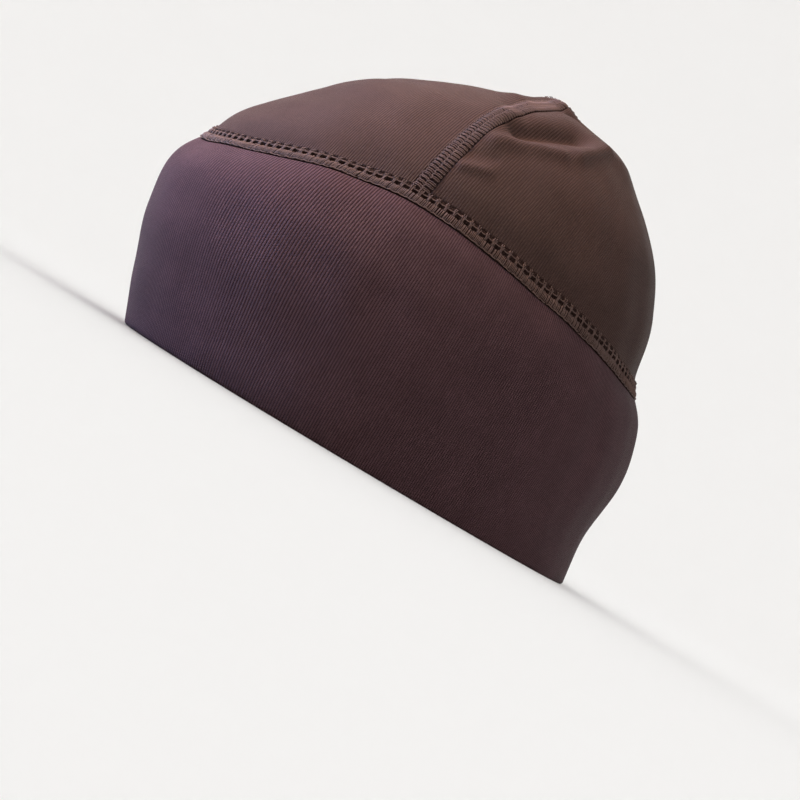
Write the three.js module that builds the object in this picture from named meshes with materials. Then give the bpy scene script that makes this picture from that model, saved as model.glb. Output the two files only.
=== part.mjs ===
// Sport beanie: a stretch skull cap with a wide folded headband and a crown of three gores.
// Millimetres, +Z up, front towards -Y, the wearer's left towards +X. The rim rests on z = 0.
import * as THREE from 'three';

// Driving sizes of the cap
const rimLength = 195;
const rimWidth = 166;
const capHeight = 157;

// Cloth and seams
const bandWall = 2.4;
const crownWall = 1.6;
const seamWidth = 6.5;
const seamThickness = 0.8;
const clearance = 0.3;
const rimRounding = 0.5;
const frontGoreHalfAngle = 48;

// Relief of the worn cloth
const seamPinch = 2;
const seamPinchReach = 9;
const foldRise = 3;
const foldReach = 9;

// Outer outline by height. height is a share of capHeight, front and back are shares of half of
// rimLength measured from the crown axis, side is a share of half of rimWidth.
const sections = [
  { height: 0, front: 1.035, back: 0.97, side: 1 },
  { height: 0.13, front: 1.122, back: 0.935, side: 1.017 },
  { height: 0.27, front: 1.2, back: 0.96, side: 1.026 },
  { height: 0.4, front: 1.217, back: 0.91, side: 1.007 },
  { height: 0.53, front: 1.13, back: 0.775, side: 0.952 },
  { height: 0.66, front: 0.951, back: 0.718, side: 0.873 },
  { height: 0.78, front: 0.755, back: 0.598, side: 0.757 },
  { height: 0.88, front: 0.503, back: 0.449, side: 0.566 },
  { height: 0.955, front: 0.2, back: 0.274, side: 0.317 },
  { height: 1, front: 0, back: 0, side: 0 },
];
const outlineRoundness = 2.15;

// Height of the seam between headband and crown at every eighth of a turn from the front
// to the back, as shares of capHeight.
const bandSeamHeights = [0.485, 0.582, 0.549, 0.497, 0.502];

// Soft folds of the cloth, each a stroke from one place to another. Azimuths are degrees from the
// front, heights are shares of capHeight, reach and rise are shares of foldReach and foldRise, and
// a negative rise is a hollow.
const folds = [
  { azimuth: 47, height: 0.85, toAzimuth: 62, toHeight: 0.97, reach: 1, rise: 1 },
  { azimuth: 58, height: 0.85, toAzimuth: 84, toHeight: 0.92, reach: 0.8, rise: -1 },
  { azimuth: 55, height: 0.81, toAzimuth: 80, toHeight: 0.87, reach: 0.6, rise: 0.5 },
  { azimuth: 80, height: 0.87, toAzimuth: 108, toHeight: 0.94, reach: 0.8, rise: 0.6 },
  { azimuth: 120, height: 0.93, toAzimuth: 150, toHeight: 0.95, reach: 1.1, rise: 0.7 },
  { azimuth: -47, height: 0.85, toAzimuth: -62, toHeight: 0.96, reach: 1, rise: 0.8 },
  { azimuth: -62, height: 0.84, toAzimuth: -92, toHeight: 0.91, reach: 0.9, rise: -0.8 },
  { azimuth: -96, height: 0.86, toAzimuth: -130, toHeight: 0.93, reach: 1, rise: 0.5 },
  { azimuth: 28, height: 0.04, toAzimuth: 60, toHeight: 0.06, reach: 0.8, rise: 0.25 },
  { azimuth: -50, height: 0.05, toAzimuth: -84, toHeight: 0.07, reach: 0.8, rise: 0.25 },
];

// Mesh fineness
const aroundSteps = 96;
const meridianSamples = 90;
const crownRows = 13;
const frontGoreColumns = 22;
const sideGoreColumns = 30;
const apexRadius = 1.2;

const degrees = THREE.MathUtils.degToRad;
const smoothstep = THREE.MathUtils.smoothstep;
const lerp = THREE.MathUtils.lerp;
const lastSection = sections.length - 1;

// Smooth curve through evenly placed values, with the value before the first and after the last.
function smoothCurve(values, position, before, after) {
  const i = THREE.MathUtils.clamp(Math.floor(position), 0, values.length - 2);
  const t = position - i;
  const a = i > 0 ? values[i - 1] : before;
  const b = values[i];
  const c = values[i + 1];
  const d = i + 2 < values.length ? values[i + 2] : after;
  const cubic = (3 * (b - c) + d - a) * t ** 3;
  const square = (2 * a - 5 * b + 4 * c - d) * t ** 2;
  return (2 * b + (c - a) * t + square + cubic) / 2;
}

// One column of the outline table as lengths. Past the apex the radii go on as their mirror.
function sectionColumn(name, size) {
  const values = sections.map((row) => row[name] * size);
  const before = 2 * values[0] - values[1];
  const after = name === 'height' ? values[lastSection - 1] : -values[lastSection - 1];
  return (position) => smoothCurve(values, position, before, after);
}

const heightAt = sectionColumn('height', capHeight);
const frontAt = sectionColumn('front', rimLength / 2);
const backAt = sectionColumn('back', rimLength / 2);
const sideAt = sectionColumn('side', rimWidth / 2);

// Point of the plain outline: azimuth in radians from the front, position in section steps.
function outlinePoint(azimuth, position) {
  const across = Math.abs(Math.sin(azimuth));
  const along = Math.abs(Math.cos(azimuth));
  const lengthwise = Math.max(Math.cos(azimuth) > 0 ? frontAt(position) : backAt(position), 1e-6);
  const sideways = Math.max(sideAt(position), 1e-6);
  const sum = (across / sideways) ** outlineRoundness + (along / lengthwise) ** outlineRoundness;
  const radius = sum ** (-1 / outlineRoundness);
  return new THREE.Vector3(
    radius * Math.sin(azimuth),
    -radius * Math.cos(azimuth),
    heightAt(position),
  );
}

// Unit direction out of the cloth. It is level at the rim, so that the rim stays flat.
function outwardAt(azimuth, position) {
  const step = 0.01;
  const low = Math.max(position - step, 0);
  const high = Math.min(position + step, lastSection - step);
  const up = outlinePoint(azimuth, high).sub(outlinePoint(azimuth, Math.min(low, high - step)));
  const around = outlinePoint(azimuth + step, position).sub(outlinePoint(azimuth - step, position));
  const outward = around.cross(up).normalize();
  outward.z *= smoothstep(heightAt(position), 0, 0.08 * capHeight);
  return outward.normalize();
}

function bandSeamHeight(azimuth) {
  const turn = Math.abs(Math.atan2(Math.sin(azimuth), Math.cos(azimuth)));
  const eighths = turn / (Math.PI / 4);
  const share = smoothCurve(bandSeamHeights, eighths, bandSeamHeights[1], bandSeamHeights[3]);
  return share * capHeight;
}

// Section position of a height given as a share of capHeight
function positionOfHeight(share) {
  const above = sections.findIndex((row) => row.height >= share);
  const row = Math.max(above, 1);
  const low = sections[row - 1].height;
  return row - 1 + (share - low) / (sections[row].height - low);
}

const foldStrokes = folds.map((fold) => ({
  line: new THREE.Line3(
    outlinePoint(degrees(fold.azimuth), positionOfHeight(fold.height)),
    outlinePoint(degrees(fold.toAzimuth), positionOfHeight(fold.toHeight)),
  ),
  reach: fold.reach * foldReach,
  rise: fold.rise * foldRise,
}));

function foldHeight(point) {
  const nearest = new THREE.Vector3();
  return foldStrokes.reduce((total, { line, reach, rise }) => {
    line.closestPointToPoint(point, true, nearest);
    const offset = point.distanceTo(nearest) / reach;
    return total + rise * Math.exp(-offset * offset);
  }, 0);
}

// The meridian of an azimuth: a lookup from distance along the cloth to section position.
const meridians = new Map();
function meridianOf(azimuth) {
  const key = azimuth.toFixed(6);
  if (!meridians.has(key)) {
    const positions = [];
    const distances = [];
    let travelled = 0;
    let previous = outlinePoint(azimuth, 0);
    for (let i = 0; i <= meridianSamples; i += 1) {
      const position = (lastSection * i) / meridianSamples;
      const point = outlinePoint(azimuth, position);
      travelled += point.distanceTo(previous);
      positions.push(position);
      distances.push(travelled);
      previous = point;
    }
    const seam = positions.findIndex((position) => heightAt(position) >= bandSeamHeight(azimuth));
    const heightBelow = heightAt(positions[seam - 1]);
    const part = (bandSeamHeight(azimuth) - heightBelow) / (heightAt(positions[seam]) - heightBelow);
    const seamDistance = lerp(distances[seam - 1], distances[seam], part);
    meridians.set(key, { positions, distances, seamDistance, length: travelled });
  }
  return meridians.get(key);
}

function positionAt(meridian, distance) {
  const { positions, distances } = meridian;
  const next = Math.max(distances.findIndex((value) => value >= distance), 1);
  const part = (distance - distances[next - 1]) / (distances[next] - distances[next - 1]);
  return lerp(positions[next - 1], positions[next], part);
}

// Point of the cloth: distance runs up the meridian from the rim, lift goes out of the cloth.
function clothPoint(azimuth, distance, lift) {
  const meridian = meridianOf(azimuth);
  const position = distance > 0 ? positionAt(meridian, Math.min(distance, meridian.length)) : 0;
  const fromSeam = (distance - meridian.seamDistance) / seamPinchReach;
  const pinch = -seamPinch * Math.exp(-fromSeam * fromSeam);
  const point = outlinePoint(azimuth, position);
  const relief = pinch + foldHeight(point);
  return point.addScaledVector(outwardAt(azimuth, position), relief + lift);
}

// Azimuth that lies sideways millimetres beside a seam's azimuth at a distance up the meridian.
function azimuthBeside(seamAzimuth, sideways, distanceOf) {
  const middle = clothPoint(seamAzimuth, distanceOf(meridianOf(seamAzimuth)), 0);
  const radius = Math.hypot(middle.x, middle.y);
  return seamAzimuth + Math.asin(THREE.MathUtils.clamp(sideways / radius, -0.7, 0.7));
}

// Closed solid through loops of points. A loop goes up one face of the cloth and back down the
// other, and an open run of loops is capped at both ends.
function loftSolid(loops, closed) {
  const size = loops[0].length;
  const vertices = loops.flat().flatMap((point) => point.toArray());
  const triangles = [];
  const quad = (a, b, c, d) => triangles.push(a, b, c, a, c, d);
  const spans = closed ? loops.length : loops.length - 1;
  for (let i = 0; i < spans; i += 1) {
    const here = i * size;
    const there = ((i + 1) % loops.length) * size;
    for (let j = 0; j < size; j += 1) {
      const next = (j + 1) % size;
      quad(here + j, there + j, there + next, here + next);
    }
  }
  if (!closed) {
    const end = (loops.length - 1) * size;
    for (let j = 0; j < size / 2 - 1; j += 1) {
      quad(j, j + 1, size - 2 - j, size - 1 - j);
      quad(end + j, end + size - 1 - j, end + size - 2 - j, end + j + 1);
    }
  }
  const geometry = new THREE.BufferGeometry();
  geometry.setAttribute('position', new THREE.Float32BufferAttribute(vertices, 3));
  geometry.setIndex(triangles);
  geometry.computeVertexNormals();
  return geometry;
}

function makeMesh(name, geometry, color, roughness) {
  const material = new THREE.MeshStandardMaterial({ color, roughness, metalness: 0 });
  const mesh = new THREE.Mesh(geometry, material);
  mesh.name = name;
  return mesh;
}

const bandColor = 0x453236;
const crownColor = 0x5c4543;
const seamColor = 0x4b3a3b;

// Headband: two layers of cloth folded at the rim, a ring of one closed section
function headbandLoop(azimuth) {
  const { seamDistance } = meridianOf(azimuth);
  const top = seamDistance - clearance / 2;
  const underSeam = seamDistance - seamWidth / 2;
  const nearSeam = seamDistance - seamPinchReach;
  const shares = [0.14, 0.32, 0.5, 0.68, 0.85];
  const rows = [rimRounding, ...shares.map((share) => share * nearSeam), nearSeam, underSeam, top];
  const outer = rows.map((distance) => clothPoint(azimuth, distance, 0));
  const inner = rows.map((distance) => clothPoint(azimuth, distance, -bandWall));
  const footOut = clothPoint(azimuth, 0, -rimRounding);
  const footIn = clothPoint(azimuth, 0, rimRounding - bandWall);
  return [footOut, ...outer, ...inner.reverse(), footIn];
}

function aroundAzimuths() {
  return Array.from({ length: aroundSteps }, (_, i) => (2 * Math.PI * i) / aroundSteps);
}

function makeHeadband() {
  const loops = aroundAzimuths().map(headbandLoop);
  return makeMesh('headband', loftSolid(loops, true), bandColor, 0.62);
}

// Crown rows: the distance up the meridian of each row between the band seam and the apex
function crownRowDistance(row) {
  const lowRows = [clearance / 2, seamWidth / 2, seamPinchReach];
  return ({ seamDistance, length }) => {
    if (row < lowRows.length) {
      return seamDistance + lowRows[row];
    }
    const start = seamDistance + seamPinchReach;
    const share = (row - lowRows.length + 1) / (crownRows - lowRows.length);
    return lerp(start, length - apexRadius, share);
  };
}

const goreSeams = { left: frontGoreHalfAngle, right: 360 - frontGoreHalfAngle, back: 180 };

// Half of the width of a gore seam: full at the sides, mitred against its neighbours at the apex
function seamHalfWidth(seamAzimuth, distanceOf, mitreAngle) {
  const middle = clothPoint(seamAzimuth, distanceOf(meridianOf(seamAzimuth)), 0);
  const radius = Math.hypot(middle.x, middle.y);
  return Math.min(seamWidth / 2, radius * Math.sin(mitreAngle) - clearance / 2);
}

// One gore of the crown between two seams, given by their azimuths in degrees
function makeGore(name, startSeam, endSeam, columns) {
  const start = degrees(startSeam);
  const end = degrees(endSeam);
  const columnAzimuth = (column, distanceOf) => {
    const edge = clearance / 2;
    const first = azimuthBeside(start, edge, distanceOf);
    const last = azimuthBeside(end, -edge, distanceOf);
    const reach = Math.min(azimuthBeside(start, seamWidth / 2, distanceOf), lerp(first, last, 0.3));
    const backReach = Math.max(azimuthBeside(end, -seamWidth / 2, distanceOf), lerp(first, last, 0.7));
    if (column === 0) {
      return first;
    }
    if (column === columns) {
      return last;
    }
    return lerp(reach, backReach, (column - 1) / (columns - 2));
  };
  const loops = [];
  for (let column = 0; column <= columns; column += 1) {
    const outer = [];
    const inner = [];
    for (let row = 0; row <= crownRows; row += 1) {
      const distanceOf = crownRowDistance(row);
      const azimuth = columnAzimuth(column, distanceOf);
      const distance = distanceOf(meridianOf(azimuth));
      outer.push(clothPoint(azimuth, distance, 0));
      inner.push(clothPoint(azimuth, distance, -crownWall));
    }
    loops.push([...outer, ...inner.reverse()]);
  }
  return makeMesh(name, loftSolid(loops, false), crownColor, 0.6);
}

// Section of a flat seam: shares of its half width and of its thickness, top face then underside
const seamSection = [
  { across: -1, up: 0.3 },
  { across: -0.75, up: 1 },
  { across: 0.75, up: 1 },
  { across: 1, up: 0.3 },
  { across: 1, up: 0 },
  { across: 0.3, up: 0 },
  { across: -0.3, up: 0 },
  { across: -1, up: 0 },
];

// Flat seam that covers the joint of headband and crown all the way round
function makeBandSeam() {
  const loops = aroundAzimuths().map((azimuth) => {
    const { seamDistance } = meridianOf(azimuth);
    return seamSection.map(({ across, up }) => {
      const distance = seamDistance + (across * seamWidth) / 2;
      return clothPoint(azimuth, distance, clearance + up * seamThickness);
    });
  });
  return makeMesh('band_seam', loftSolid(loops, true), seamColor, 0.75);
}

// Flat seam that runs up a meridian. Each stop is a function from meridian to distance.
function makeMeridianSeam(name, azimuthDegrees, stops, halfWidthAt) {
  const azimuth = degrees(azimuthDegrees);
  const loops = stops.map((distanceOf) => {
    const halfWidth = halfWidthAt(distanceOf);
    return seamSection.map(({ across, up }) => {
      const beside = azimuthBeside(azimuth, across * halfWidth, distanceOf);
      const distance = distanceOf(meridianOf(beside));
      return clothPoint(beside, distance, clearance + up * seamThickness);
    });
  });
  return makeMesh(name, loftSolid(loops.reverse(), false), seamColor, 0.75);
}

function makeGoreSeam(name, azimuthDegrees, mitreAngle) {
  const foot = ({ seamDistance }) => seamDistance + seamWidth / 2 + clearance;
  const stops = [foot];
  for (let row = 2; row <= crownRows; row += 1) {
    stops.push(crownRowDistance(row));
  }
  const halfWidthAt = (distanceOf) => (
    seamHalfWidth(degrees(azimuthDegrees), distanceOf, degrees(mitreAngle))
  );
  return makeMeridianSeam(name, azimuthDegrees, stops, halfWidthAt);
}

// Closure of the headband at the centre of the back, from just above the fold to the band seam
function makeHeadbandBackSeam() {
  const stops = [0.07, 0.14, 0.32, 0.5, 0.68, 0.85].map((share) => (
    ({ seamDistance }) => share * (seamDistance - seamPinchReach)
  ));
  stops.push(({ seamDistance }) => seamDistance - seamPinchReach);
  stops.push(({ seamDistance }) => seamDistance - seamWidth / 2 - clearance);
  return makeMeridianSeam('headband_back_seam', goreSeams.back, stops, () => seamWidth / 2);
}

const group = new THREE.Group();
group.add(
  makeHeadband(),
  makeGore('crown_front_panel', -goreSeams.left, goreSeams.left, frontGoreColumns),
  makeGore('crown_left_panel', goreSeams.left, goreSeams.back, sideGoreColumns),
  makeGore('crown_right_panel', goreSeams.back, goreSeams.right, sideGoreColumns),
  makeBandSeam(),
  makeGoreSeam('left_crown_seam', goreSeams.left, frontGoreHalfAngle),
  makeGoreSeam('right_crown_seam', goreSeams.right, frontGoreHalfAngle),
  makeGoreSeam('back_crown_seam', goreSeams.back, 90 - frontGoreHalfAngle / 2),
  makeHeadbandBackSeam(),
);

// The cap's footprint is centred on the origin.
const box = new THREE.Box3().setFromObject(group);
group.position.set(0, -(box.min.y + box.max.y) / 2, -box.min.z);
group.updateMatrixWorld(true);

export default group;
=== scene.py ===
"""Sport beanie: knit, seams, stitches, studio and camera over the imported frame.

Metres, +Z up, the cap's front towards -Y and the wearer's left towards +X. The cloth is one
function: an azimuth from the front and a distance up from the rim give a point of the outer face.
Every piece is modelled flat in those terms and then laid on that cloth.
"""

import math

import bmesh
import bpy
import numpy as np
from bpy.props import FloatProperty, FloatVectorProperty, PointerProperty
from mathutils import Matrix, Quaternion, Vector


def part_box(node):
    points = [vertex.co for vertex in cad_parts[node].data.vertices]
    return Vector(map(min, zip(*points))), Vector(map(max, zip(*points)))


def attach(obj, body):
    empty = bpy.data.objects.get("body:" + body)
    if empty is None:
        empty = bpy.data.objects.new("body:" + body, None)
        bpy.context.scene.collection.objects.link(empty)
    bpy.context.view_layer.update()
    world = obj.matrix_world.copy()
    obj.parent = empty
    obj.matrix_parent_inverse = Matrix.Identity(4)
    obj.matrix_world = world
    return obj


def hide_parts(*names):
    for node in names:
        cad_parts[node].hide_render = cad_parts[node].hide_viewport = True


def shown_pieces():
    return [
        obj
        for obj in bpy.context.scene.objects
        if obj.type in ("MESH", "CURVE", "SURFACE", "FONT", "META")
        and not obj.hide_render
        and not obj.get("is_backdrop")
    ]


bl_info = {
    "name": "Sport Beanie",
    "version": (1, 0, 0),
    "blender": (4, 5, 0),
    "location": "3D View > Sidebar > Beanie",
    "description": "Builds a stretch-knit skull cap with a folded headband and flat seams",
    "category": "Object",
}

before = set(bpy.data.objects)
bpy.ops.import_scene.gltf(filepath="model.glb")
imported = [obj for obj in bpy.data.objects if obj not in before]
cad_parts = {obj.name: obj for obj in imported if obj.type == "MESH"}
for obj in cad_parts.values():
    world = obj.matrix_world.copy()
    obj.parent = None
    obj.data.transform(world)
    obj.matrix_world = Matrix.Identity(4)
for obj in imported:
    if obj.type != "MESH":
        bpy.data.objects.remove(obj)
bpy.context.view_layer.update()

MM = 0.001

# Vertices nearer to each other than this are the same one
MERGE_GAP = 0.002 * MM

# Outer outline by height. Height is a share of the cap's height, front and back are shares of half
# of the rim's length measured from the crown axis, side is a share of half of the rim's width.
SECTIONS = [
    {"height": 0, "front": 1.035, "back": 0.97, "side": 1},
    {"height": 0.13, "front": 1.122, "back": 0.935, "side": 1.017},
    {"height": 0.27, "front": 1.2, "back": 0.96, "side": 1.026},
    {"height": 0.4, "front": 1.217, "back": 0.91, "side": 1.007},
    {"height": 0.53, "front": 1.13, "back": 0.775, "side": 0.952},
    {"height": 0.66, "front": 0.951, "back": 0.718, "side": 0.873},
    {"height": 0.78, "front": 0.755, "back": 0.598, "side": 0.757},
    {"height": 0.88, "front": 0.503, "back": 0.449, "side": 0.566},
    {"height": 0.955, "front": 0.2, "back": 0.274, "side": 0.317},
    {"height": 1, "front": 0, "back": 0, "side": 0},
]
LAST_SECTION = len(SECTIONS) - 1
OUTLINE_ROUNDNESS = 2.15
# Share of the cap's height over which the way out of the cloth turns up from level at the rim
LEVEL_RIM_SHARE = 0.08

# Height of the band seam at every eighth of a turn from the front to the back.
BAND_SEAM_HEIGHTS = [0.485, 0.582, 0.549, 0.497, 0.502]

# Soft folds, each a stroke from one place to another: degrees from the front, shares of the cap's
# height, and shares of the folds' reach and rise. A negative rise is a hollow.
FOLDS = [
    {"azimuth": 47, "height": 0.85, "to_azimuth": 62, "to_height": 0.97, "reach": 1, "rise": 1},
    {"azimuth": 58, "height": 0.85, "to_azimuth": 84, "to_height": 0.92, "reach": 0.8, "rise": -1},
    {"azimuth": 55, "height": 0.81, "to_azimuth": 80, "to_height": 0.87, "reach": 0.6, "rise": 0.5},
    {"azimuth": 80, "height": 0.87, "to_azimuth": 108, "to_height": 0.94, "reach": 0.8, "rise": 0.6},
    {"azimuth": 120, "height": 0.93, "to_azimuth": 150, "to_height": 0.95, "reach": 1.1, "rise": 0.7},
    {"azimuth": -47, "height": 0.85, "to_azimuth": -62, "to_height": 0.96, "reach": 1, "rise": 0.8},
    {"azimuth": -62, "height": 0.84, "to_azimuth": -92, "to_height": 0.91, "reach": 0.9, "rise": -0.8},
    {"azimuth": -96, "height": 0.86, "to_azimuth": -130, "to_height": 0.93, "reach": 1, "rise": 0.5},
    {"azimuth": 28, "height": 0.04, "to_azimuth": 60, "to_height": 0.06, "reach": 0.8, "rise": 0.25},
    {"azimuth": -50, "height": 0.05, "to_azimuth": -84, "to_height": 0.07, "reach": 0.8, "rise": 0.25},
]

# Finer creases in the same terms. The first three take back part of the fold that they follow.
CREASES = [
    {"azimuth": 47, "height": 0.85, "to_azimuth": 62, "to_height": 0.97, "reach": 1, "rise": -0.75},
    {"azimuth": 55, "height": 0.81, "to_azimuth": 80, "to_height": 0.87, "reach": 0.6, "rise": -0.4},
    {"azimuth": 80, "height": 0.87, "to_azimuth": 108, "to_height": 0.94, "reach": 0.8, "rise": -0.4},
    {"azimuth": 34, "height": 0.935, "to_azimuth": 8, "to_height": 0.975, "reach": 0.6, "rise": 0.5},
    {"azimuth": -20, "height": 0.99, "to_azimuth": 100, "to_height": 0.995, "reach": 0.5, "rise": 0.45},
    {"azimuth": 49, "height": 0.9, "to_azimuth": 62, "to_height": 0.98, "reach": 0.75, "rise": -0.55},
    {"azimuth": 57, "height": 0.85, "to_azimuth": 84, "to_height": 0.92, "reach": 0.42, "rise": -0.7},
    {"azimuth": 54, "height": 0.785, "to_azimuth": 75, "to_height": 0.844, "reach": 0.4, "rise": 0.6},
    {"azimuth": 83, "height": 0.866, "to_azimuth": 104, "to_height": 0.925, "reach": 0.4, "rise": 0.6},
    {"azimuth": 52, "height": 0.69, "to_azimuth": 58, "to_height": 0.71, "reach": 0.25, "rise": 0.35},
    {"azimuth": 52, "height": 0.728, "to_azimuth": 57, "to_height": 0.746, "reach": 0.3, "rise": -0.25},
    {"azimuth": 104, "height": 0.98, "to_azimuth": 120, "to_height": 0.965, "reach": 0.42, "rise": -1.3},
    {"azimuth": 118, "height": 0.94, "to_azimuth": 136, "to_height": 0.95, "reach": 0.5, "rise": -0.3},
]

# Soft waves all over the cloth: how many, from crest to crest, and how far up they fade in
WAVE_COUNT = 9
SHORTEST_WAVE = 16 * MM
LONGEST_WAVE = 46 * MM
WAVE_FADE = 20 * MM
WAVE_SEED = 7

# Azimuths of the three crown seams, in degrees from the front
LEFT_SEAM = 48
RIGHT_SEAM = -48
BACK_SEAM = 180

# From a seam's middle line to each of the cut edges that meet under it
EDGE_GAP = 0.15 * MM
# Beside a seam the cloth's grid is finer: this share of the way takes this share of the steps
SEAM_SIDE = 0.07
SEAM_SIDE_STEPS = 0.25
# How far the dip of the cloth under a seam takes to reach its depth
TUCK_SLOPE = 0.8 * MM
HEADBAND_GRID = (420, 130)
GORE_GRID = (170, 140)

# Softboxes: degrees from the front and above the floor, metres away and across, watts, colour
LIGHTS = [
    ("low_front_softbox", -20, 18, 1.6, 0.9, 72, 0x90BCFF),
    ("high_front_softbox", -20, 55, 1.6, 0.9, 87, 0xFFD8BE),
    ("near_side_fill", 95, 4, 1.8, 1.2, 7, 0xFFD4BE),
]
WORLD_STRENGTH = 1.05


def direction_towards(azimuth, elevation):
    """Unit direction from the cap, in degrees from the front and above the floor."""
    turn, rise = math.radians(azimuth), math.radians(elevation)
    level = math.cos(rise)
    return Vector((math.sin(turn) * level, -math.cos(turn) * level, math.sin(rise)))


def linear_from_hex(code):
    """Linear colour of an sRGB hex value."""
    channels = [(code >> shift & 255) / 255 for shift in (16, 8, 0)]
    return tuple(
        value / 12.92 if value <= 0.04045 else ((value + 0.055) / 1.055) ** 2.4
        for value in channels
    )


def length_property(name, description, default):
    return FloatProperty(
        name=name,
        description=description,
        default=default,
        min=0,
        precision=4,
        subtype="DISTANCE",
        unit="LENGTH",
    )


def colour_property(name, description, code):
    return FloatVectorProperty(
        name=name,
        description=description,
        default=linear_from_hex(code),
        min=0,
        max=1,
        size=3,
        subtype="COLOR",
    )


class BeanieSizes(bpy.types.PropertyGroup):
    """Lengths of the cap, its cloth and its seams."""

    rim_length: length_property("Rim length", "Front to back at the rim", 195 * MM)
    rim_width: length_property("Rim width", "Side to side at the rim", 166 * MM)
    cap_height: length_property("Cap height", "Rim to apex", 157 * MM)
    band_wall: length_property("Band wall", "Two layers of knit", 2.4 * MM)
    crown_wall: length_property("Crown wall", "One layer of knit", 1.6 * MM)
    seam_width: length_property("Seam width", "Width of the flat seams", 6.5 * MM)
    seam_thickness: length_property("Seam thickness", "Height of a flat seam", 0.8 * MM)
    seam_pinch: length_property("Seam pinch", "Depth the band seam draws in", 2 * MM)
    seam_pinch_reach: length_property("Pinch reach", "How far the pinch spreads", 9 * MM)
    fold_rise: length_property("Fold rise", "Height of the strongest fold", 3 * MM)
    fold_reach: length_property("Fold reach", "Half width of a plain fold", 9 * MM)
    unevenness: length_property("Unevenness", "Soft waves of the worn cloth", 0.3 * MM)
    seam_tuck: length_property("Seam tuck", "How far the cloth dips under a seam", 0.9 * MM)
    thread: length_property("Thread", "Diameter of the seam thread", 0.36 * MM)


class BeanieColours(bpy.types.PropertyGroup):
    """Colours of the knit, the thread and the studio."""

    band: colour_property("Headband", "Yarn of the headband", 0x38282B)
    crown: colour_property("Crown", "Yarn of the crown", 0x352825)
    thread: colour_property("Thread", "Overlock thread of the seams", 0x5F4D48)
    floor: colour_property("Floor", "Paper of the studio floor", 0xFAF9F8)


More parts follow.
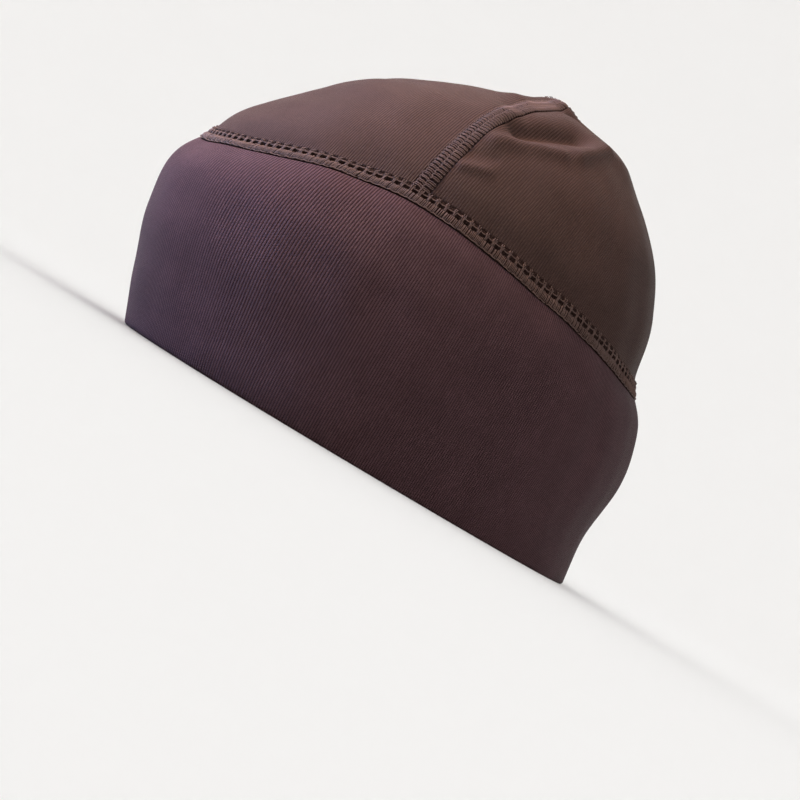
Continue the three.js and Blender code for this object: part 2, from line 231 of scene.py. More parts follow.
class Cloth:
    """The worn cloth as a function of azimuth, distance up from the rim and lift out of it."""

    def __init__(self, sizes):
        self.sizes = sizes
        self.columns = {
            "height": self.section_column("height", sizes.cap_height),
            "front": self.section_column("front", sizes.rim_length / 2),
            "back": self.section_column("back", sizes.rim_length / 2),
            "side": self.section_column("side", sizes.rim_width / 2),
        }
        self.strokes = [self.fold_stroke(fold) for fold in FOLDS + CREASES]
        rng = np.random.default_rng(WAVE_SEED)
        self.wave_directions = rng.normal(size=(WAVE_COUNT, 3))
        self.wave_directions /= np.linalg.norm(self.wave_directions, axis=1)[:, None]
        self.wave_lengths = rng.uniform(SHORTEST_WAVE, LONGEST_WAVE, WAVE_COUNT)
        self.wave_phases = rng.uniform(0, math.tau, WAVE_COUNT)
        self.measure_meridians()
        self.shift = 0.0
        self.shift = self.shift_onto_frame()

    @staticmethod
    def smooth_curve(values, position, before, after):
        """Smooth curve through evenly placed values, with one more value on either side."""
        padded = np.array([before, *values, after])
        i = np.clip(np.floor(position).astype(int), 0, len(values) - 2)
        t = position - i
        a, b, c, d = (padded[i + k] for k in range(4))
        cubic = (3 * (b - c) + d - a) * t**3
        square = (2 * a - 5 * b + 4 * c - d) * t**2
        return (2 * b + (c - a) * t + square + cubic) / 2

    def section_column(self, name, size):
        """One column of the outline table as lengths. Past the apex the radii are mirrored."""
        values = [row[name] * size for row in SECTIONS]
        before = 2 * values[0] - values[1]
        after = values[-2] if name == "height" else -values[-2]
        return lambda position: self.smooth_curve(values, position, before, after)

    def outline_point(self, azimuth, position):
        """Point of the plain outline. Position counts section steps up from the rim."""
        facing_front = np.cos(azimuth) > 0
        lengthwise = np.where(
            facing_front, self.columns["front"](position), self.columns["back"](position)
        )
        lengthwise = np.maximum(lengthwise, 1e-9)
        sideways = np.maximum(self.columns["side"](position), 1e-9)
        across = (np.abs(np.sin(azimuth)) / sideways) ** OUTLINE_ROUNDNESS
        along = (np.abs(np.cos(azimuth)) / lengthwise) ** OUTLINE_ROUNDNESS
        radius = (across + along) ** (-1 / OUTLINE_ROUNDNESS)
        height = self.columns["height"](position) + 0 * radius
        return np.stack([radius * np.sin(azimuth), -radius * np.cos(azimuth), height], axis=-1)

    def outward(self, azimuth, position):
        """Unit direction out of the cloth, level at the rim so that the rim stays flat."""
        step = 0.01
        low = np.maximum(position - step, 0)
        high = np.minimum(position + step, LAST_SECTION - step)
        low = np.minimum(low, high - step)
        up = self.outline_point(azimuth, high) - self.outline_point(azimuth, low)
        around = self.outline_point(azimuth + step, position)
        around = around - self.outline_point(azimuth - step, position)
        outward = np.cross(around, up)
        outward /= np.linalg.norm(outward, axis=-1)[..., None]
        fade = self.columns["height"](position) / (LEVEL_RIM_SHARE * self.sizes.cap_height)
        outward[..., 2] *= smooth_step(fade)
        return outward / np.linalg.norm(outward, axis=-1)[..., None]

    def band_seam_height(self, azimuth):
        eighths = np.abs(np.arctan2(np.sin(azimuth), np.cos(azimuth))) / (math.pi / 4)
        before, after = BAND_SEAM_HEIGHTS[1], BAND_SEAM_HEIGHTS[3]
        share = self.smooth_curve(BAND_SEAM_HEIGHTS, eighths, before, after)
        return share * self.sizes.cap_height

    def fold_stroke(self, fold):
        heights = [row["height"] for row in SECTIONS]
        ends = []
        for azimuth, height in (("azimuth", "height"), ("to_azimuth", "to_height")):
            position = np.interp(fold[height], heights, range(len(heights)))
            ends.append(self.outline_point(math.radians(fold[azimuth]), position))
        reach = fold["reach"] * self.sizes.fold_reach
        return ends[0], ends[1] - ends[0], reach, fold["rise"] * self.sizes.fold_rise

    def fold_height(self, point):
        total = np.zeros(point.shape[:-1])
        for start, line, reach, rise in self.strokes:
            share = np.clip((point - start) @ line / (line @ line), 0, 1)
            gap = np.linalg.norm(point - start - share[..., None] * line, axis=-1)
            total += rise * np.exp(-((gap / reach) ** 2))
        return total

    def soft_waves(self, point):
        """Uneven tension of the knit: low waves that fade out at the rim."""
        phase = point @ (self.wave_directions / self.wave_lengths[:, None]).T * math.tau
        waves = np.sin(phase + self.wave_phases).sum(axis=-1) / 3
        fade = np.clip(point[..., 2] / WAVE_FADE, 0, 1)
        return self.sizes.unevenness * waves * fade

    def measure_meridians(self):
        """Lookup tables: section position, length and seam distance for each azimuth."""
        meridians, samples = 721, 541
        self.table_azimuths = np.linspace(-math.pi, math.pi, meridians)
        positions = np.linspace(0, LAST_SECTION, samples)
        points = self.outline_point(self.table_azimuths[:, None], positions[None, :])
        steps = np.linalg.norm(np.diff(points, axis=1), axis=-1)
        starts = np.zeros((meridians, 1))
        distances = np.concatenate([starts, np.cumsum(steps, axis=1)], axis=1)
        self.table_lengths = distances[:, -1]
        self.table_shares = 500
        shares = np.linspace(0, 1, self.table_shares + 1)
        heights = self.columns["height"](positions)
        seam_heights = self.band_seam_height(self.table_azimuths)
        self.table_positions = np.array(
            [np.interp(shares * row[-1], row, positions) for row in distances]
        )
        self.table_seams = np.array(
            [np.interp(seam, heights, row) for seam, row in zip(seam_heights, distances)]
        )

    def from_table(self, table, azimuth):
        wrapped = np.arctan2(np.sin(azimuth), np.cos(azimuth))
        return np.interp(wrapped, self.table_azimuths, table)

    def seam_distance(self, azimuth):
        return self.from_table(self.table_seams, azimuth)

    def length(self, azimuth):
        return self.from_table(self.table_lengths, azimuth)

    def position(self, azimuth, distance):
        wrapped = np.arctan2(np.sin(azimuth), np.cos(azimuth))
        row = (wrapped + math.pi) / math.tau * (len(self.table_azimuths) - 1)
        row_index = np.clip(row.astype(int), 0, len(self.table_azimuths) - 2)
        row_part = row - row_index
        share = np.clip(distance / self.length(azimuth), 0, 1) * self.table_shares
        share_index = np.clip(share.astype(int), 0, self.table_shares - 1)
        share_part = share - share_index
        table = self.table_positions
        low = table[row_index, share_index] * (1 - share_part)
        low += table[row_index, share_index + 1] * share_part
        high = table[row_index + 1, share_index] * (1 - share_part)
        high += table[row_index + 1, share_index + 1] * share_part
        return low * (1 - row_part) + high * row_part

    def point(self, azimuth, distance, lift=0.0):
        """Point of the cloth: distance runs up the meridian from the rim, lift goes outwards."""
        azimuth, distance, lift = np.broadcast_arrays(
            np.asarray(azimuth, float), np.asarray(distance, float), np.asarray(lift, float)
        )
        position = self.position(azimuth, distance)
        outline = self.outline_point(azimuth, position)
        from_seam = (distance - self.seam_distance(azimuth)) / self.sizes.seam_pinch_reach
        relief = -self.sizes.seam_pinch * np.exp(-(from_seam**2))
        relief = relief + self.fold_height(outline) + self.soft_waves(outline)
        point = outline + self.outward(azimuth, position) * (relief + lift)[..., None]
        point[..., 1] += self.shift
        return point

    def shift_onto_frame(self):
        """Distance from the crown axis to the frame's origin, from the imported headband's box."""
        azimuths = np.linspace(-math.pi, math.pi, 361)[:, None]
        shares = np.linspace(0, 1, 60)[None, :]
        band = self.point(azimuths, shares * self.seam_distance(azimuths))
        low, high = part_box("headband")
        return (low[1] + high[1] - band[..., 1].min() - band[..., 1].max()) / 2

    def beside(self, azimuth, sideways, distance):
        """Azimuth and distance of the place that lies sideways metres beside a meridian.

        It lies at the same share of its own meridian's length, so that all reach the apex together.
        """
        middle = self.point(azimuth, distance)
        radius = np.hypot(middle[..., 0], middle[..., 1] - self.shift)
        turned = azimuth + np.arcsin(np.clip(sideways / radius, -0.95, 0.95))
        return turned, distance * self.length(turned) / self.length(azimuth)


def smooth_step(value):
    value = np.clip(value, 0, 1)
    return value * value * (3 - 2 * value)


def tucked(sizes, across, half_width):
    """How far cloth is drawn down under a flat seam, so that the seam lies nearly flush."""
    return sizes.seam_tuck * smooth_step((half_width - np.abs(across)) / TUCK_SLOPE + 0.5)


def crowded(share, near, steps_share):
    """Spaces even steps from 0 to 1 so that a share of them falls in the first near part."""
    low = share / steps_share * near
    high = near + (share - steps_share) / (1 - steps_share) * (1 - near)
    return np.where(share < steps_share, low, high)


def shaped_grid(columns, rows, shape, closed=False):
    """A bmesh grid laid into a shape.

    shape takes two arrays from 0 to 1, across the columns and up the rows, and gives the points in
    metres and their place on the flat cloth in millimetres, which becomes the UV map.
    """
    mesh = bmesh.new()
    uv_layer = mesh.loops.layers.uv.new("cloth")
    bmesh.ops.create_grid(mesh, x_segments=columns, y_segments=rows, size=0.5)
    flat = np.array([vertex.co[:2] for vertex in mesh.verts]) + 0.5
    points, cloth = shape(flat[:, 0], flat[:, 1])
    for vertex, point in zip(mesh.verts, points):
        vertex.co = point
    mesh.verts.index_update()
    for face in mesh.faces:
        for loop in face.loops:
            loop[uv_layer].uv = cloth[loop.vert.index]
    if closed:
        bmesh.ops.remove_doubles(mesh, verts=mesh.verts, dist=MERGE_GAP)
    return mesh


def finished_object(name, mesh, material, nodes=()):
    """Makes the object of a bmesh, shades it smooth, and ties it to the frame."""
    data = bpy.data.meshes.new(name)
    mesh.to_mesh(data)
    mesh.free()
    data.materials.append(material)
    data.shade_smooth()
    piece = bpy.data.objects.new(name, data)
    bpy.context.scene.collection.objects.link(piece)
    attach(piece, "root")
    if nodes:
        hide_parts(*nodes)
    return piece


def thread_object(name, runs, diameter, material):
    """Lengths of thread through rows of points, as one mesh."""
    curve = bpy.data.curves.new(name, "CURVE")
    curve.dimensions = "3D"
    curve.bevel_depth = diameter / 2
    curve.bevel_resolution = 0
    curve.use_fill_caps = True
    for run in runs:
        spline = curve.splines.new("POLY")
        spline.points.add(len(run) - 1)
        spline.points.foreach_set("co", np.c_[run, np.ones(len(run))].ravel())
    source = bpy.data.objects.new(name + "_run", curve)
    data = bpy.data.meshes.new_from_object(source)
    bpy.data.objects.remove(source)
    bpy.data.curves.remove(curve)
    mesh = bmesh.new()
    mesh.from_mesh(data)
    bpy.data.meshes.remove(data)
    bmesh.ops.remove_doubles(mesh, verts=mesh.verts, dist=MERGE_GAP)
    bmesh.ops.recalc_face_normals(mesh, faces=mesh.faces)
    return finished_object(name, mesh, material)


def add_node(tree, kind, inputs=None, **settings):
    """Adds a shader node. An input given as a socket is linked, any other is set."""
    node = tree.nodes.new("ShaderNode" + kind)
    for name, value in settings.items():
        setattr(node, name, value)
    for key, value in (inputs or {}).items():
        if isinstance(value, bpy.types.NodeSocket):
            tree.links.new(value, node.inputs[key])
        else:
            node.inputs[key].default_value = value
    return node


def new_material(name):
    material = bpy.data.materials.new(name)
    material.use_nodes = True
    tree = material.node_tree
    tree.nodes.clear()
    output = add_node(tree, "OutputMaterial")
    return material, tree, output


# Width of a wale and height of a course of the stretch knit. The real ones are near 0.6 and
# 0.4 mm, too fine for the picture, so they are drawn half as coarse again.
WALE_PITCH_MM = 0.95
COURSE_PITCH_MM = 0.62


def knit_material(name, colour, roughness, furrow_shading):
    """Satin stretch knit of filament yarn: columns of small V stitches with a soft silky gloss.

    The filament yarn gives a broad, low highlight. Painted shade darkens the furrow between the
    wales, and the last argument, from 0 to 1, says how strong it is; the wales turn paler to match.
    """
    material, tree, output = new_material(name)
    uv = add_node(tree, "UVMap", uv_map="cloth")
    axes = add_node(tree, "SeparateXYZ", {"Vector": uv.outputs["UV"]})
    wale = add_node(
        tree, "Math", {0: axes.outputs["X"], 1: 1 / WALE_PITCH_MM}, operation="MULTIPLY"
    )
    # 0 in the middle of a wale and 1 in the furrow between two
    aside = add_node(tree, "Math", {0: wale.outputs[0], 1: 0.5}, operation="PINGPONG")
    aside = add_node(tree, "Math", {0: aside.outputs[0], 1: 2.0}, operation="MULTIPLY")
    furrow = add_node(tree, "Math", {0: aside.outputs[0], 1: 1.4}, operation="POWER")
    course = add_node(
        tree, "Math", {0: axes.outputs["Y"], 1: 1 / COURSE_PITCH_MM}, operation="MULTIPLY"
    )
    # The two sides of each small V slant towards the furrows
    slant = add_node(
        tree,
        "Math",
        {0: aside.outputs[0], 1: 0.6, 2: course.outputs[0]},
        operation="MULTIPLY_ADD",
    )
    turn = add_node(tree, "Math", {0: slant.outputs[0], 1: math.tau}, operation="MULTIPLY")
    stitch = add_node(tree, "Math", {0: turn.outputs[0]}, operation="SINE")
    height = add_node(
        tree,
        "Math",
        {0: stitch.outputs[0], 1: 0.3, 2: furrow.outputs[0]},
        operation="MULTIPLY_ADD",
    )
    place = add_node(tree, "TexCoord")
    mottle = add_node(
        tree,
        "TexNoise",
        {"Vector": place.outputs["Object"], "Scale": 90.0, "Detail": 3.0, "Roughness": 0.6},
    )
    fleck = add_node(
        tree,
        "TexNoise",
        {"Vector": place.outputs["Object"], "Scale": 900.0, "Detail": 2.0, "Roughness": 0.7},
    )
    # The given colour is the mean of the yarn in the light and the painted shade in the furrow
    bare = tuple(value * (1 + 0.5 * furrow_shading) for value in colour) + (1,)
    painted_furrow_shade = tuple(value * (1 - 0.84 * furrow_shading) for value in colour) + (1,)
    pale = tuple(value * (1.25 + 0.6 * furrow_shading) for value in colour) + (1,)
    shade = add_node(tree, "ValToRGB", {"Fac": mottle.outputs["Fac"]})
    shade.color_ramp.elements[0].position = 0.3
    shade.color_ramp.elements[0].color = bare
    shade.color_ramp.elements[1].position = 0.75
    shade.color_ramp.elements[1].color = pale
    speckle = add_node(
        tree,
        "MapRange",
        {
            "Value": fleck.outputs["Fac"],
            "From Min": 0.3,
            "From Max": 0.7,
            "To Min": 0.82,
            "To Max": 1.15,
        },
    )
    lit = add_node(
        tree,
        "VectorMath",
        {0: shade.outputs["Color"], "Scale": speckle.outputs[0]},
        operation="SCALE",
    )
    # Painted shade: where the knit lies deepest, in the furrows and between the small V's, the yarn
    # takes the shaded colour
    depth = add_node(
        tree, "MapRange", {"Value": height.outputs[0], "From Min": 0.15, "From Max": 1.05}
    )
    # Inputs 0, 6 and 7 of a colour mix are its factor and its two colours
    yarn = add_node(
        tree, "Mix", {0: depth.outputs[0], 6: lit.outputs[0], 7: painted_furrow_shade}, data_type="RGBA"
    )
    bump = add_node(
        tree,
        "Bump",
        {"Strength": 0.7, "Distance": 0.25 * MM, "Height": height.outputs[0]},
        invert=True,
    )
    shader = add_node(
        tree,
        "BsdfPrincipled",
        {
            "Base Color": yarn.outputs[2],
            "Roughness": roughness,
            "Specular IOR Level": 0.03,
            "Normal": bump.outputs["Normal"],
        },
    )
    tree.links.new(shader.outputs["BSDF"], output.inputs["Surface"])
    return material


def thread_material(name, colour):
    """Textured polyester overlock thread: matt and a little fuzzy, paler than the knit."""
    material, tree, output = new_material(name)
    place = add_node(tree, "TexCoord")
    fibre = add_node(
        tree,
        "TexNoise",
        {"Vector": place.outputs["Object"], "Scale": 1600.0, "Detail": 2.0, "Roughness": 0.7},
    )
    shade = add_node(tree, "ValToRGB", {"Fac": fibre.outputs["Fac"]})
    shade.color_ramp.elements[0].position = 0.3
    shade.color_ramp.elements[0].color = tuple(value * 0.6 for value in colour) + (1,)
    shade.color_ramp.elements[1].position = 0.7
    shade.color_ramp.elements[1].color = (*colour, 1)
    bump = add_node(
        tree, "Bump", {"Strength": 0.4, "Distance": 0.1 * MM, "Height": fibre.outputs["Fac"]}
    )
    shader = add_node(
        tree,
        "BsdfPrincipled",
        {
            "Base Color": shade.outputs["Color"],
            "Roughness": 0.6,
            "Specular IOR Level": 0.08,
            "Sheen Weight": 0.02,
            "Sheen Roughness": 0.5,
            "Normal": bump.outputs["Normal"],
        },
    )
    tree.links.new(shader.outputs["BSDF"], output.inputs["Surface"])
    return material


def paper_material(name, colour):
    """Matt background paper: no gloss, so the floor shows only the cap's soft shadow."""
    material, tree, output = new_material(name)
    shader = add_node(
        tree, "BsdfPrincipled", {"Base Color": (*colour, 1), "Roughness": 0.95}
    )
    tree.links.new(shader.outputs["BSDF"], output.inputs["Surface"])
    return material


def worn_cloth():
    return Cloth(bpy.context.scene.beanie_sizes)


def material_once(name, make, *settings):
    return bpy.data.materials.get(name) or make(name, *settings)


# The last number given to each knit is how strong the painted shade in its furrows is
def band_knit():
    colour = bpy.context.scene.beanie_colours.band
    return material_once("satin stretch knit, headband", knit_material, colour, 0.52, 1.0)


def front_gore_knit():
    """Stretched most over the brow, so that its furrows stand open and take strong painted shade."""
    colour = bpy.context.scene.beanie_colours.crown
    return material_once("satin stretch knit, front gore", knit_material, colour, 0.5, 0.95)


def side_gore_knit():
    colour = bpy.context.scene.beanie_colours.crown
    return material_once("satin stretch knit, side gores", knit_material, colour, 0.5, 0.5)


def painted_shade_seam_ground():
    """Knit at half the crown's colour, the painted shade of the stitches, so that the threads stand out
    from the gaps between them.
    """
    # Painted shade: the crown's colour at half its brightness
    colour = tuple(value * 0.5 for value in bpy.context.scene.beanie_colours.crown)
    return material_once("stretch knit under the stitches", knit_material, colour, 0.6, 0.5)


def seam_thread():
    colour = bpy.context.scene.beanie_colours.thread
    return material_once("polyester overlock thread", thread_material, colour)


class BEANIE_OT_headband(bpy.types.Operator):
    """Makes the headband: knit doubled over at the rim, closed all the way round"""

    bl_idname = "beanie.headband"
    bl_label = "Headband"

    def execute(self, context):
        cloth = worn_cloth()
        sizes = context.scene.beanie_sizes
        wall = sizes.band_wall
        # Shares of the way round one section: up the outside, over the top edge, down the inside
        # and round the fold at the rim.
        outer_end, top_end, inner_end = 0.52, 0.55, 0.93
        fold_radius = wall / 2

        def shape(around, section):
            azimuth = (around + 0.5) * math.tau
            top = cloth.seam_distance(azimuth) - EDGE_GAP
            outside = np.clip(section / outer_end, 0, 1)
            inside = np.clip((section - top_end) / (inner_end - top_end), 0, 1)
            over = np.clip((section - outer_end) / (top_end - outer_end), 0, 1)
            fold = np.clip((section - inner_end) / (1 - inner_end), 0, 1)
            outside = 1 - crowded(1 - outside, SEAM_SIDE, SEAM_SIDE_STEPS)
            distance = fold_radius + (top - fold_radius) * (outside - inside)
            tuck = tucked(sizes, distance - top, sizes.seam_width / 2)
            lift = -wall * over - np.where(fold > 0, 0, tuck)
            turn = fold * math.pi
            distance = np.where(fold > 0, fold_radius * (1 - np.sin(turn)), distance)
            lift = np.where(fold > 0, -wall / 2 * (1 + np.cos(turn)), lift)
            points = cloth.point(azimuth, distance, lift)
            girth = (sizes.rim_length + sizes.rim_width) / 4 * azimuth
            return points, np.stack([girth, distance], axis=-1) / MM

        mesh = shaped_grid(*HEADBAND_GRID, shape, closed=True)
        finished_object("headband_knit", mesh, band_knit(), ["headband"])
        return {"FINISHED"}


class BEANIE_OT_crown_panels(bpy.types.Operator):
    """Makes the three gores of the crown, each a curved panel of one layer of knit"""

    bl_idname = "beanie.crown_panels"
    bl_label = "Crown Panels"

    def execute(self, context):
        cloth = worn_cloth()
        gores = [
            ("crown_front_panel", RIGHT_SEAM, LEFT_SEAM, LEFT_SEAM, front_gore_knit()),
            ("crown_left_panel", LEFT_SEAM, BACK_SEAM, LEFT_SEAM, side_gore_knit()),
            ("crown_right_panel", BACK_SEAM - 360, RIGHT_SEAM, RIGHT_SEAM, side_gore_knit()),
        ]
        for node, start, end, grain, knit in gores:
            self.make_gore(context, cloth, node, start, end, grain, knit)
        return {"FINISHED"}

    def make_gore(self, context, cloth, node, start, end, grain, knit):
        """Lays one gore between two seams, with its wales parallel to the seam named grain."""
        sizes = context.scene.beanie_sizes
        apex_gap = 0.35 * MM
        low_part, low_steps = 0.05, 0.15

        def shape(across, up):
            right = across > 0.5
            across = np.where(right, 1 - across, across)
            across = crowded(2 * across, SEAM_SIDE, SEAM_SIDE_STEPS) / 2
            across = np.where(right, 1 - across, across)
            up = crowded(up, low_part, low_steps)
            first, last = math.radians(start), math.radians(end)
            azimuth = first + (last - first) * across
            # Azimuth and distance depend on each other, and settle in two rounds
            for _ in range(2):
                bottom = cloth.seam_distance(azimuth) + EDGE_GAP
                distance = bottom + (cloth.length(azimuth) - apex_gap - bottom) * up
                share = distance / cloth.length(azimuth)
                low, _ = cloth.beside(first, EDGE_GAP, share * cloth.length(first))
                high, _ = cloth.beside(last, -EDGE_GAP, share * cloth.length(last))
                azimuth = low + (high - low) * across
            plain = cloth.point(azimuth, distance)
            radius = np.hypot(plain[:, 0], plain[:, 1] - cloth.shift)
            half = np.minimum(sizes.seam_width / 2, 0.7 * radius)
            tuck = np.maximum(
                tucked(sizes, distance - bottom, sizes.seam_width / 2),
                np.maximum(
                    tucked(sizes, radius * (azimuth - first), half),
                    tucked(sizes, radius * (last - azimuth), half),
                ),
            )
            points = cloth.point(azimuth, distance, -tuck)
            from_seam = radius * (azimuth - math.radians(grain))
            return points, np.stack([from_seam, distance], axis=-1) / MM

        mesh = shaped_grid(*GORE_GRID, shape)
        piece = finished_object(node + "_knit", mesh, knit, [node])
        wall = piece.modifiers.new("wall", "SOLIDIFY")
        wall.thickness = sizes.crown_wall
        wall.offset = -1


# One repeat of the band seam's stitches. Each row is a run of thread as points of along, across and
# up: along is a share of the pitch, across a share of the seam's half width from the headband side
# to the crown side, and up a share of the seam's thickness, of which THREAD_BED lies in the cloth.
THREAD_BED = 0.4
BAND_STITCHES = [
    {"name": "cover 1", "run": [(-0.46, -0.82, 0.5), (-0.42, -0.35, 1.15), (-0.4, 0.1, 0.8)]},
    {"name": "cover 2", "run": [(-0.3, -0.82, 0.5), (-0.26, -0.35, 1.2), (-0.24, 0.1, 0.8)]},
    {"name": "cover 3", "run": [(-0.13, -0.82, 0.5), (-0.09, -0.35, 1.15), (-0.07, 0.08, 0.7)]},
    {"name": "cover 4", "run": [(0.04, -0.82, 0.5), (0.08, -0.35, 1.2), (0.1, 0.08, 0.7)]},
    {"name": "cover 5", "run": [(0.2, -0.82, 0.5), (0.24, -0.35, 1.15), (0.27, 0.1, 0.8)]},
    {"name": "cover 6", "run": [(0.37, -0.82, 0.5), (0.41, -0.35, 1.2), (0.43, 0.1, 0.8)]},
    {"name": "bridge 1", "run": [(0.4, 0.05, 0.8), (0.42, 0.4, 1.2), (0.3, 0.8, 0.9)]},
    {"name": "bridge 2", "run": [(0.5, 0.05, 0.8), (0.5, 0.4, 1.2), (0.5, 0.8, 0.9)]},
    {"name": "bridge 3", "run": [(0.6, 0.05, 0.8), (0.58, 0.4, 1.2), (0.7, 0.8, 0.9)]},
    {"name": "tick 1", "run": [(0.3, 0.62, 0.7), (0.34, 0.82, 1.45), (0.36, 1.08, 0.3)]},
    {"name": "tick 2", "run": [(0.52, 0.62, 0.7), (0.56, 0.84, 1.45), (0.6, 1.08, 0.3)]},
    {
        "name": "edge chain",
        "run": [(-0.5, -0.93, 0.5), (-0.2, -0.86, 0.95), (0.1, -0.95, 0.8), (0.45, -0.88, 0.5)],
    },
    {"name": "hole rim", "run": [(-0.34, 0.62, 0.8), (0.0, 0.55, 0.95), (0.34, 0.62, 0.8)]},
]

# One repeat of a crown seam's stitches, in the same terms. Across runs from the front gore or the
# right gore at -1 to the next gore at 1.
CROWN_STITCHES = [
    {
        "name": "loop",
        "run": [
            (-0.2, 0.02, 0.9),
            (-0.28, 0.45, 1.3),
            (-0.3, 0.88, 0.9),
            (-0.12, 0.99, 0.6),
            (0.06, 0.88, 0.9),
            (0.1, 0.45, 1.3),
            (0.16, 0.02, 0.9),
        ],
    },
    {"name": "leg 1", "run": [(-0.32, 0.08, 0.8), (-0.1, -0.4, 1.3), (-0.02, -0.86, 0.7)]},
    {"name": "leg 2", "run": [(0.02, 0.08, 0.8), (0.24, -0.4, 1.3), (0.32, -0.86, 0.7)]},
    {
        "name": "edge chain",
        "run": [(-0.5, -0.9, 0.6), (-0.1, -0.98, 0.9), (0.3, -0.88, 0.7), (0.5, -0.9, 0.6)],
    },
    {"name": "middle", "run": [(-0.5, -0.05, 1.0), (-0.1, 0.12, 1.25), (0.35, -0.1, 1.0)]},
]

# How each kind of seam is sewn: the pitch of its repeat, how far a run strays, and the dent of its
# needle hole, with along and across as in the stitch tables.
BAND_SEWING = {
    "stitches": BAND_STITCHES,
    "pitch": 3.44 * MM,
    "unevenness": 0.12 * MM,
    "hole_along": 0.5,
    "hole_across": 0.3,
    "hole_length": 0.9 * MM,
    "hole_width": 0.55 * MM,
    "hole_depth": 1.1 * MM,
}
CROWN_SEWING = {
    "stitches": CROWN_STITCHES,
    "pitch": 1.75 * MM,
    "unevenness": 0.08 * MM,
    "hole_along": 0.95,
    "hole_across": 0.0,
    "hole_length": 0.35 * MM,
    "hole_width": 0.9 * MM,
    "hole_depth": 0.9 * MM,
}


class BandSeam:
    """Places on the seam round the cap: along it, across it towards the crown, and up from it."""

    closed = True

    def __init__(self, cloth):
        self.cloth = cloth
        self.azimuths = np.linspace(-math.pi, math.pi, 1441)
        line = cloth.point(self.azimuths, cloth.seam_distance(self.azimuths))
        steps = np.linalg.norm(np.diff(line, axis=0), axis=1)
        self.distances = np.concatenate([[0], np.cumsum(steps)])
        self.length = self.distances[-1]

    def point(self, along, across, up):
        azimuth = np.interp(along % self.length, self.distances, self.azimuths)
        distance = self.cloth.seam_distance(azimuth) + across
        return self.cloth.point(azimuth, distance, up)

    def half_width(self, along):
        return np.full_like(along, self.cloth.sizes.seam_width / 2)


class MeridianSeam:
    """Places on a seam that runs up a meridian, with across towards greater azimuths.

    With a mitre, in degrees, the seam narrows to a point where it meets its neighbours at the apex.
    """

    closed = False

    def __init__(self, cloth, azimuth, start, end, mitre=None):
        self.cloth = cloth
        self.azimuth = math.radians(azimuth)
        self.start = start
        self.length = end - start
        self.mitre = mitre

    def point(self, along, across, up):
        azimuth, distance = self.cloth.beside(self.azimuth, across, self.start + along)
        return self.cloth.point(azimuth, distance, up)

    def half_width(self, along):
        full = np.full_like(along, self.cloth.sizes.seam_width / 2)
        if self.mitre is None:
            return full
        middle = self.cloth.point(np.full_like(full, self.azimuth), self.start + along)
        radius = np.hypot(middle[..., 0], middle[..., 1] - self.cloth.shift)
        return np.minimum(full, radius * math.sin(math.radians(self.mitre)))


def seam_strip(seam, sewing, columns):
    """The knit under the stitches as a low closed strip, with a dent at each needle hole."""
    rows = 26
    top_share = 0.8
    rise = 0.12 * MM
    base = 0.45 * MM
    belly = 0.3 * MM
    deepest = 1.1 * MM
    pitch = seam.length / int(seam.length / sewing["pitch"])

    def shape(along, section):
        s = along * seam.length
        half = seam.half_width(s)
        top = np.clip(section / top_share, 0, 1)
        under = np.clip((section - top_share) / (1 - top_share), 0, 1)
        across = 2 * (top - under) - 1
        up = (rise + base) * (1 - np.abs(across) ** 6) ** 0.5 - base
        repeat = (s / pitch - sewing["hole_along"] + 0.5) % 1 - 0.5
        lengthwise = repeat * pitch / sewing["hole_length"]
        sideways = (across - sewing["hole_across"]) * half / sewing["hole_width"]
        up = up - sewing["hole_depth"] * np.exp(-(lengthwise**2 + sideways**2))
        up = np.where(under > 0, -base - belly * np.sin(under * math.pi), up)
        points = seam.point(s, across * half, np.maximum(up, -deepest))
        return points, np.stack([s, across * half], axis=-1) / MM

    mesh = shaped_grid(columns, rows, shape, closed=True)
    bmesh.ops.holes_fill(mesh, edges=mesh.edges, sides=0)
    bmesh.ops.recalc_face_normals(mesh, faces=mesh.faces)
    return mesh


def stitch_runs(seam, sewing, seed):
    """Runs of thread for a whole seam, each repeat a little different from the last."""
    rng = np.random.default_rng(seed)
    unevenness = sewing["unevenness"]
    repeats = int(seam.length / sewing["pitch"])
    step = seam.length / repeats
    starts = (np.arange(repeats) + 0.5) * step
    runs = []
    for stitch in sewing["stitches"]:
        shares = np.array(stitch["run"])
        steps = np.linspace(0, len(shares) - 1, 2 * len(shares) - 1)
        shares = np.stack(
            [np.interp(steps, range(len(shares)), column) for column in shares.T], axis=1
        )
        along = starts[:, None] + shares[None, :, 0] * step
        along = along + rng.normal(0, unevenness, (repeats, 1))
        half = seam.half_width(np.clip(along, 0, seam.length))
        across = shares[None, :, 1] * half + rng.normal(0, unevenness, (repeats, 1))
        up = (shares[None, :, 2] - THREAD_BED) * seam.cloth.sizes.seam_thickness
        up = up + rng.normal(0, unevenness * 0.3, (repeats, 1))
        if not seam.closed:
            along = np.clip(along, 0, seam.length)
        points = seam.point(along, across, up + 0 * along)
        runs.extend(points)
    return runs


def sew(seam, node, sewing, columns, seed):
    """Makes a seam: its strip, which stands for the node, and the threads that cover it."""
    strip = seam_strip(seam, sewing, columns)
    finished_object(node + "_strip", strip, painted_shade_seam_ground(), [node])
    runs = stitch_runs(seam, sewing, seed)
    thread_object(node + "_stitches", runs, seam.cloth.sizes.thread, seam_thread())


class BEANIE_OT_band_seam(bpy.types.Operator):
    """Makes the flat seam between headband and crown with its covering stitches"""

    bl_idname = "beanie.band_seam"
    bl_label = "Band Seam"

    def execute(self, context):
        sew(BandSeam(worn_cloth()), "band_seam", BAND_SEWING, columns=1200, seed=11)
        return {"FINISHED"}


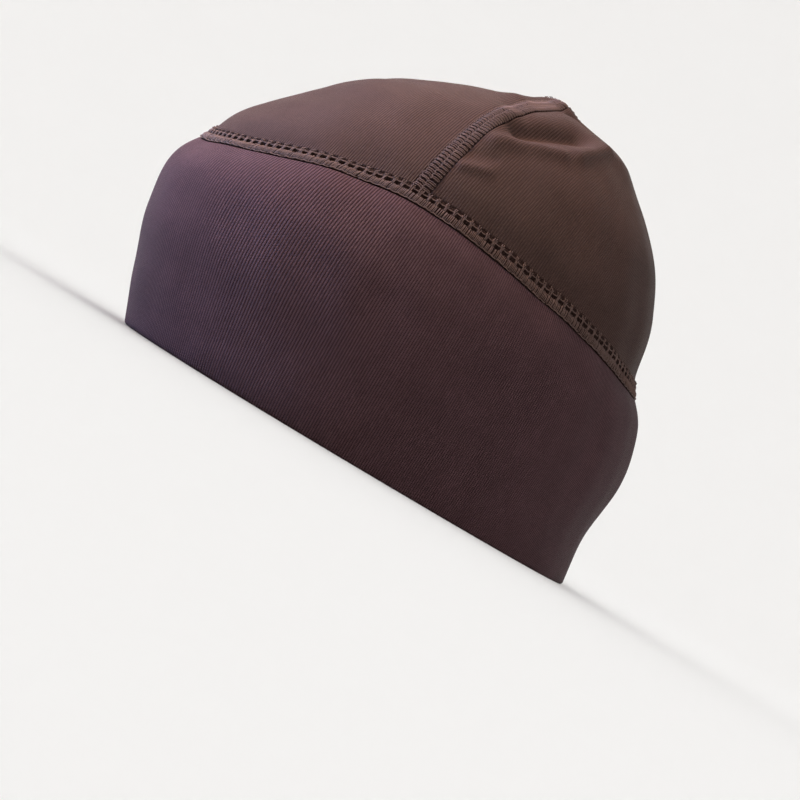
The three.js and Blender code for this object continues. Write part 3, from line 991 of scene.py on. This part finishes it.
class BEANIE_OT_crown_seams(bpy.types.Operator):
    """Makes the three flat seams between the gores, which meet at the apex"""

    bl_idname = "beanie.crown_seams"
    bl_label = "Crown Seams"

    def execute(self, context):
        cloth = worn_cloth()
        apex_gap = 0.4 * MM
        # Node, azimuth, mitre and seed. A mitre is half of the angle to the nearest seam.
        seams = [
            ("left_crown_seam", LEFT_SEAM, 48, 21),
            ("right_crown_seam", RIGHT_SEAM, 48, 22),
            ("back_crown_seam", BACK_SEAM, 66, 23),
        ]
        for node, azimuth, mitre, seed in seams:
            turn = math.radians(azimuth)
            start = float(cloth.seam_distance(turn)) + cloth.sizes.seam_width * 0.45
            end = float(cloth.length(turn)) - apex_gap
            seam = MeridianSeam(cloth, azimuth, start, end, mitre)
            sew(seam, node, CROWN_SEWING, columns=500, seed=seed)
        return {"FINISHED"}


class BEANIE_OT_band_closure(bpy.types.Operator):
    """Makes the flat seam that closes the headband's strip at the centre of the back"""

    bl_idname = "beanie.band_closure"
    bl_label = "Headband Back Seam"

    def execute(self, context):
        cloth = worn_cloth()
        above_rim = 1.5 * MM
        top = float(cloth.seam_distance(math.pi)) - cloth.sizes.seam_width / 2
        seam = MeridianSeam(cloth, BACK_SEAM, above_rim, top)
        sew(seam, "headband_back_seam", CROWN_SEWING, columns=300, seed=31)
        return {"FINISHED"}


class BEANIE_OT_studio(bpy.types.Operator):
    """Sets the pale floor, the soft lights and the camera at the photograph's angle"""

    bl_idname = "beanie.studio"
    bl_label = "Studio"

    def execute(self, context):
        self.make_floor(context)
        self.make_lights(context)
        self.make_camera(context)
        return {"FINISHED"}

    def make_floor(self, context):
        """A round floor that curves up into a wall all round, so that no horizon shows."""
        radius, sweep, height = 3.2, 1.4, 3.0
        sweep_steps = 8
        mesh = bmesh.new()
        profile = [mesh.verts.new((0, 0, 0)), mesh.verts.new((radius - sweep, 0, 0))]
        for step in range(1, sweep_steps + 1):
            turn = step / sweep_steps * math.pi / 2
            x = radius - sweep + sweep * math.sin(turn)
            profile.append(mesh.verts.new((x, 0, sweep * (1 - math.cos(turn)))))
        profile.append(mesh.verts.new((radius, 0, height)))
        edges = [mesh.edges.new(pair) for pair in zip(profile, profile[1:])]
        bmesh.ops.spin(
            mesh,
            geom=profile + edges,
            cent=(0, 0, 0),
            axis=(0, 0, 1),
            angle=math.tau,
            steps=96,
            use_merge=True,
            use_duplicate=False,
        )
        bmesh.ops.remove_doubles(mesh, verts=mesh.verts, dist=0.1 * MM)
        bmesh.ops.recalc_face_normals(mesh, faces=mesh.faces)
        data = bpy.data.meshes.new("studio_floor")
        mesh.to_mesh(data)
        mesh.free()
        colour = context.scene.beanie_colours.floor
        data.materials.append(paper_material("matt background paper", colour))
        data.shade_smooth()
        floor = bpy.data.objects.new("studio_floor", data)
        context.scene.collection.objects.link(floor)
        floor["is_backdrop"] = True

    def make_lights(self, context):
        """Soft lights on the cap alone, so that the paper stays even and isn't burnt out."""
        lit = bpy.data.collections.new("lit_by_softboxes")
        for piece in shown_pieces():
            lit.objects.link(piece)
        aim = Vector((0, 0, 80)) * MM
        for name, azimuth, elevation, gap, size, watts, colour in LIGHTS:
            place = aim + gap * direction_towards(azimuth, elevation)
            light = bpy.data.lights.new(name, "AREA")
            light.shape = "DISK"
            light.size = size
            light.energy = watts
            light.color = linear_from_hex(colour)
            lamp = bpy.data.objects.new(name, light)
            lamp.location = place
            lamp.rotation_mode = "QUATERNION"
            lamp.rotation_quaternion = (aim - place).to_track_quat("-Z", "Y")
            lamp.visible_camera = False
            lamp.light_linking.receiver_collection = lit
            context.scene.collection.objects.link(lamp)
        world = bpy.data.worlds.new("studio")
        world.use_nodes = True
        background = world.node_tree.nodes["Background"]
        background.inputs["Color"].default_value = (1, 1, 1, 1)
        background.inputs["Strength"].default_value = WORLD_STRENGTH
        context.scene.world = world
        context.scene.view_settings.view_transform = "Standard"

    def make_camera(self, context):
        """The camera keeps the photograph's side and roll, and stands just above the floor."""
        place = Vector((735.2, -308.6, 16.7)) * MM
        aim = Vector((4.0, 15.4, 28.7)) * MM
        roll = math.radians(31.0)
        camera = bpy.data.cameras.new("photo_camera")
        camera.sensor_width = 36
        camera.lens = 94.2
        camera.clip_start = 0.02
        camera.clip_end = 50
        holder = bpy.data.objects.new("photo_camera", camera)
        holder.location = place
        holder.rotation_mode = "QUATERNION"
        level = (aim - place).to_track_quat("-Z", "Y")
        holder.rotation_quaternion = level @ Quaternion((0, 0, 1), roll)
        context.scene.collection.objects.link(holder)
        context.scene.camera = holder


class BEANIE_PT_parts(bpy.types.Panel):
    """Lists the pieces of the beanie"""

    bl_idname = "BEANIE_PT_parts"
    bl_label = "Beanie"
    bl_space_type = "VIEW_3D"
    bl_region_type = "UI"
    bl_category = "Beanie"

    def draw(self, context):
        for operator in OPERATORS:
            self.layout.operator(operator.bl_idname)


OPERATORS = (
    BEANIE_OT_headband,
    BEANIE_OT_crown_panels,
    BEANIE_OT_band_seam,
    BEANIE_OT_crown_seams,
    BEANIE_OT_band_closure,
    BEANIE_OT_studio,
)
CLASSES = (BeanieSizes, BeanieColours, *OPERATORS, BEANIE_PT_parts)


def register():
    for item in CLASSES:
        bpy.utils.register_class(item)
    bpy.types.Scene.beanie_sizes = PointerProperty(type=BeanieSizes)
    bpy.types.Scene.beanie_colours = PointerProperty(type=BeanieColours)


def unregister():
    del bpy.types.Scene.beanie_colours
    del bpy.types.Scene.beanie_sizes
    for item in reversed(CLASSES):
        bpy.utils.unregister_class(item)


def main():
    register()
    bpy.ops.beanie.headband()
    bpy.ops.beanie.crown_panels()
    bpy.ops.beanie.band_seam()
    bpy.ops.beanie.crown_seams()
    bpy.ops.beanie.band_closure()
    bpy.ops.beanie.studio()


if __name__ == "__main__":
    main()
